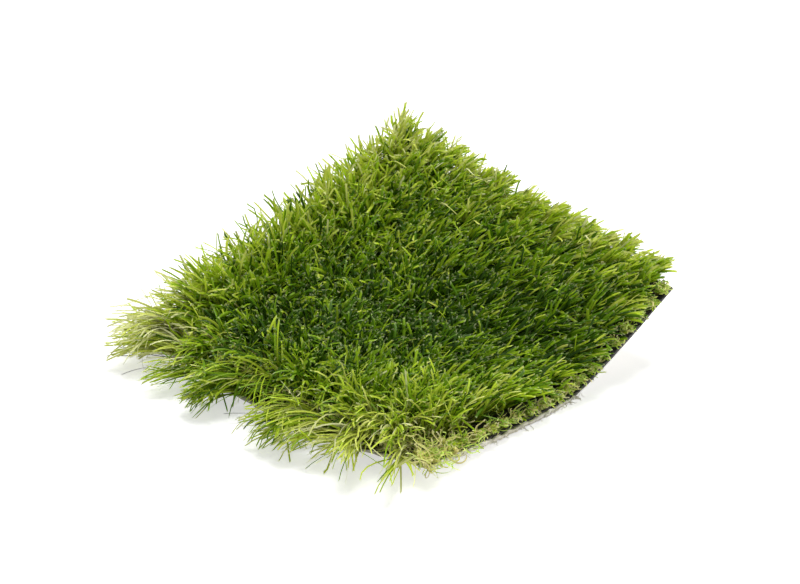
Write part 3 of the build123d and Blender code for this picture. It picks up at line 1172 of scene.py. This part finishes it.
def outline_strands(name, seed, along, across, outward, length, width, material, tints, tint_count,
                    curly, droop):
    """A piece of loose strands. The higher its droop, the more they hang."""
    chance = np.random.default_rng(seed)
    places, ways = outline_lines(chance, along, across, outward, length, curly, droop)
    shape = fibre_shape(chance, len(along), 1.5)
    shape["width"] = width
    points, quads, flat = ribbons(places, ways, shape, tints, tint_count, FIBRE_COLUMNS)
    flat[..., 1] = LOOSE_MAP_START + LOOSE_MAP_LENGTH * flat[..., 1]
    print(name, "strands:", len(along))
    return mesh_piece(name, points, quads, flat, material)


# %% Nest of yarn ends at the front corner
LOOSE_SEED = 500
loose_chance = np.random.default_rng(LOOSE_SEED)
nest_count = 190
nest_along = loose_chance.uniform(-1, 1, nest_count) ** 2 * 24 - 0.5
nest_across = loose_chance.uniform(-1, 1, nest_count) ** 2 * 19 + 0.5
nest_way = np.stack([
    loose_chance.normal(-0.35, 0.6, nest_count), loose_chance.normal(-0.15, 0.6, nest_count)], axis=-1)
corner_nest = outline_strands(
    "corner_nest", LOOSE_SEED + 1, nest_along, nest_across, nest_way,
    length=loose_chance.uniform(9, 24, nest_count),
    width=loose_chance.uniform(0.4, 0.8, nest_count),
    material=thatch_finish,
    tints=loose_chance.uniform(0.45, 0.999, nest_count),
    tint_count=THATCH_TINTS, curly=1.5, droop=-0.6)

# %% Coat fibres along the bare edge
FRAY_TINTS = 8
FIBRE_COLOURS = [(226, 222, 206), (240, 237, 226), (250, 248, 240)]
fibre_finish = strand_material(
    "latexed fibre", FIBRE_COLOURS, FRAY_TINTS, painted_root_shade=0.9, tip_colour=(250, 248, 240),
    roughness=0.6, translucent=0.2, streaks=3.0)
wisp_count = 110
wisp_along = loose_chance.uniform(-1, LIP_END + 4, wisp_count)
wisp_way = np.stack([
    loose_chance.normal(0, 0.7, wisp_count), loose_chance.uniform(-1.2, -0.4, wisp_count)], axis=-1)
coat_wisps = outline_strands(
    "coat_wisps", LOOSE_SEED + 2, wisp_along, np.full(wisp_count, -0.3), wisp_way,
    length=loose_chance.triangular(0.8, 1.6, 5.0, wisp_count),
    width=loose_chance.uniform(0.25, 0.55, wisp_count),
    material=fibre_finish,
    tints=loose_chance.uniform(0, 0.999, wisp_count),
    tint_count=FRAY_TINTS, curly=0.6, droop=0.2)

# %% Black tape ends
TAPE_COLOURS = [(14, 14, 13), (34, 34, 31), (62, 64, 56)]
tape_finish = strand_material(
    "black tape yarn", TAPE_COLOURS, FRAY_TINTS, painted_root_shade=0.9, tip_colour=(40, 40, 38),
    roughness=0.5, translucent=0.0, streaks=3.0)
tape_count = 45
tape_along = loose_chance.uniform(LIP_END - 12, SHEET - 1, tape_count)
tape_way = np.stack([
    loose_chance.normal(0, 0.25, tape_count), loose_chance.uniform(-1.2, -0.8, tape_count)], axis=-1)
tape_length = loose_chance.triangular(0.3, 0.6, 1.6, tape_count)
tape_width = loose_chance.uniform(0.3, 1.1, tape_count)
print("tape ends up to", round(tape_length.max(), 1), "mm long")

# %% Pulled threads, in one piece with the tape ends
thread_count, threads_at_left = 12, 8
thread_across = np.concatenate([
    loose_chance.uniform(132, 149, threads_at_left),
    loose_chance.uniform(70, 130, thread_count - threads_at_left),
])
thread_way = np.stack([
    loose_chance.uniform(-1.3, -0.9, thread_count), loose_chance.normal(0.8, 0.35, thread_count)], axis=-1)
tape_ends = outline_strands(
    "black_tape_ends", LOOSE_SEED + 3,
    np.concatenate([tape_along, 1 - front_edge(thread_across)]),
    np.concatenate([np.full(tape_count, 0.4), thread_across]),
    np.concatenate([tape_way, thread_way]),
    length=np.concatenate([tape_length, loose_chance.uniform(16, 32, thread_count)]),
    width=np.concatenate([tape_width, loose_chance.uniform(0.25, 0.45, thread_count)]),
    material=tape_finish,
    tints=loose_chance.uniform(0, 0.999, tape_count + thread_count),
    tint_count=FRAY_TINTS, curly=0.25, droop=0.1)

# %% [markdown]
# ## Studio
#
# The sample lies on a plain pale floor. A soft lamp high behind it lights the tips and leaves the
# gaps dark, and a weak, very soft one from the bare cut's side fills the shadows. More light would
# turn the floor white, but it would bleach the blades too. So the floor's own material adds a
# little for the camera's rays only, and the blades get no extra light and the shadow stays.

# %% Floor
FLOOR_GLOW = 0.56
FLOOR_HALF = 4.0


def seen_directly(tree):
    """One for the camera's rays, also by way of gloss or glass, and none for rays that light things."""
    path = place_node(tree, "ShaderNodeLightPath").outputs
    seen = calculate(tree, "MAXIMUM", path["Is Camera Ray"], path["Is Glossy Ray"])
    return calculate(tree, "MAXIMUM", seen, path["Is Transmission Ray"])


def white_ground():
    """Near-white paper that the camera sees a little brighter than it is."""
    material, tree, shader = new_material("white ground")
    shader.inputs["Base Color"].default_value = paint(240, 240, 240)
    shader.inputs["Roughness"].default_value = 0.9
    shader.inputs["Specular IOR Level"].default_value = 0.0
    strength = calculate(tree, "MULTIPLY", seen_directly(tree), FLOOR_GLOW)
    glow = place_node(tree, "ShaderNodeEmission", {"Strength": strength})
    both = place_node(tree, "ShaderNodeAddShader", {0: shader.outputs[0], 1: glow.outputs[0]})
    tree.links.new(both.outputs[0], tree.nodes["Material Output"].inputs["Surface"])
    return material


floor_mesh = bpy.data.meshes.new("studio_floor")
floor_corners = [(FLOOR_HALF * x, FLOOR_HALF * y, 0) for x, y in ((-1, -1), (1, -1), (1, 1), (-1, 1))]
floor_mesh.from_pydata(floor_corners, [], [(0, 1, 2, 3)])
floor_mesh.materials.append(white_ground())
floor = bpy.data.objects.new("studio_floor", floor_mesh)
bpy.context.scene.collection.objects.link(floor)
print("floor:", 2 * FLOOR_HALF, "metres square")

# %% Light
ROOM_LIGHT = 0.16
world = bpy.data.worlds.new("soft room")
bpy.context.scene.world = world
world.use_nodes = True
room = world.node_tree
background = room.nodes["Background"].inputs
background["Color"].default_value = (1, 1, 1, 1)
room.links.new(spread(room, seen_directly(room), 0.0, 1.0, ROOM_LIGHT, 1.0), background["Strength"])


def sun(name, strength, softness, azimuth, elevation):
    """A soft lamp far off, at an azimuth from +X and an elevation above the floor."""
    lamp = bpy.data.lights.new(name, "SUN")
    lamp.energy = strength
    lamp.angle = math.radians(softness)
    holder = bpy.data.objects.new(name, lamp)
    holder.rotation_euler = (0, math.radians(90 - elevation), math.radians(azimuth))
    bpy.context.scene.collection.objects.link(holder)
    return holder


lamps = [
    sun("key from behind", strength=2.8, softness=26, azimuth=32, elevation=67),
    sun("fill from the cut edge", strength=1.1, softness=60, azimuth=-62, elevation=24),
]
print("room light", ROOM_LIGHT, "and", len(lamps), "soft lamps")

# %% Camera
VIEW_AZIMUTH, VIEW_ELEVATION = math.radians(46.18), math.radians(30.62)
PIXELS_PER_MM, CAMERA_DISTANCE = 2.427, 2540.0
IMAGE_WIDTH, IMAGE_HEIGHT = 800, 584
SENSOR_WIDTH = 36
# Where in the image the middle of the sheet comes, if it lay flat
SHEET_CENTRE_PIXEL = (424.2, 343.3)
right = np.array([math.cos(VIEW_AZIMUTH), -math.sin(VIEW_AZIMUTH), 0])
ahead = np.array([math.sin(VIEW_AZIMUTH) * math.cos(VIEW_ELEVATION),
                  math.cos(VIEW_AZIMUTH) * math.cos(VIEW_ELEVATION), -math.sin(VIEW_ELEVATION)])
up = np.cross(right, ahead)
sheet_centre = np.array([SHEET / 2 - REST_X, SHEET / 2 - REST_Y, 0])
aim = (sheet_centre + right * (IMAGE_WIDTH / 2 - SHEET_CENTRE_PIXEL[0]) / PIXELS_PER_MM
       + up * (SHEET_CENTRE_PIXEL[1] - IMAGE_HEIGHT / 2) / PIXELS_PER_MM)
camera_data = bpy.data.cameras.new("camera")
camera_data.sensor_width = SENSOR_WIDTH
camera_data.lens = SENSOR_WIDTH * CAMERA_DISTANCE / (IMAGE_WIDTH / PIXELS_PER_MM)
camera = bpy.data.objects.new("camera", camera_data)
camera.location = (aim - ahead * CAMERA_DISTANCE) * MM
camera.rotation_euler = (math.pi / 2 - VIEW_ELEVATION, 0, -VIEW_AZIMUTH)
bpy.context.scene.collection.objects.link(camera)
bpy.context.scene.camera = camera
bpy.context.scene.view_settings.view_transform = "Standard"
print("camera lens in mm:", round(camera_data.lens, 1))

# %% [markdown]
# ## Joining it to the frame
#
# There are no moving parts, so everything rides on the one body. Each mesh stands for the CAD
# node in the same place, which is hidden. The woven backing is cloth, cut 150 mm square, and 10 mm
# more where the front bows out.

# %% Ride and replace
joined = [(coat, "latex_coat", "latex_coat"), (backing, "primary_backing", "woven_backing")]
for row in range(ROWS):
    node = f"tuft_row_{row + 1:02d}"
    joined += [(blade_rows[row], node, "turf_yarn"), (thatch_rows[row], node, "turf_yarn")]
joined += [
    (corner_nest, "tuft_row_01", "turf_yarn"),
    (coat_wisps, "latex_coat", "latex_coat"),
    (tape_ends, "primary_backing", "woven_backing"),
]
for piece, node, slot in joined:
    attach(piece, "root")
    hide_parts(node)
print("pieces joined to the frame:", len(joined))
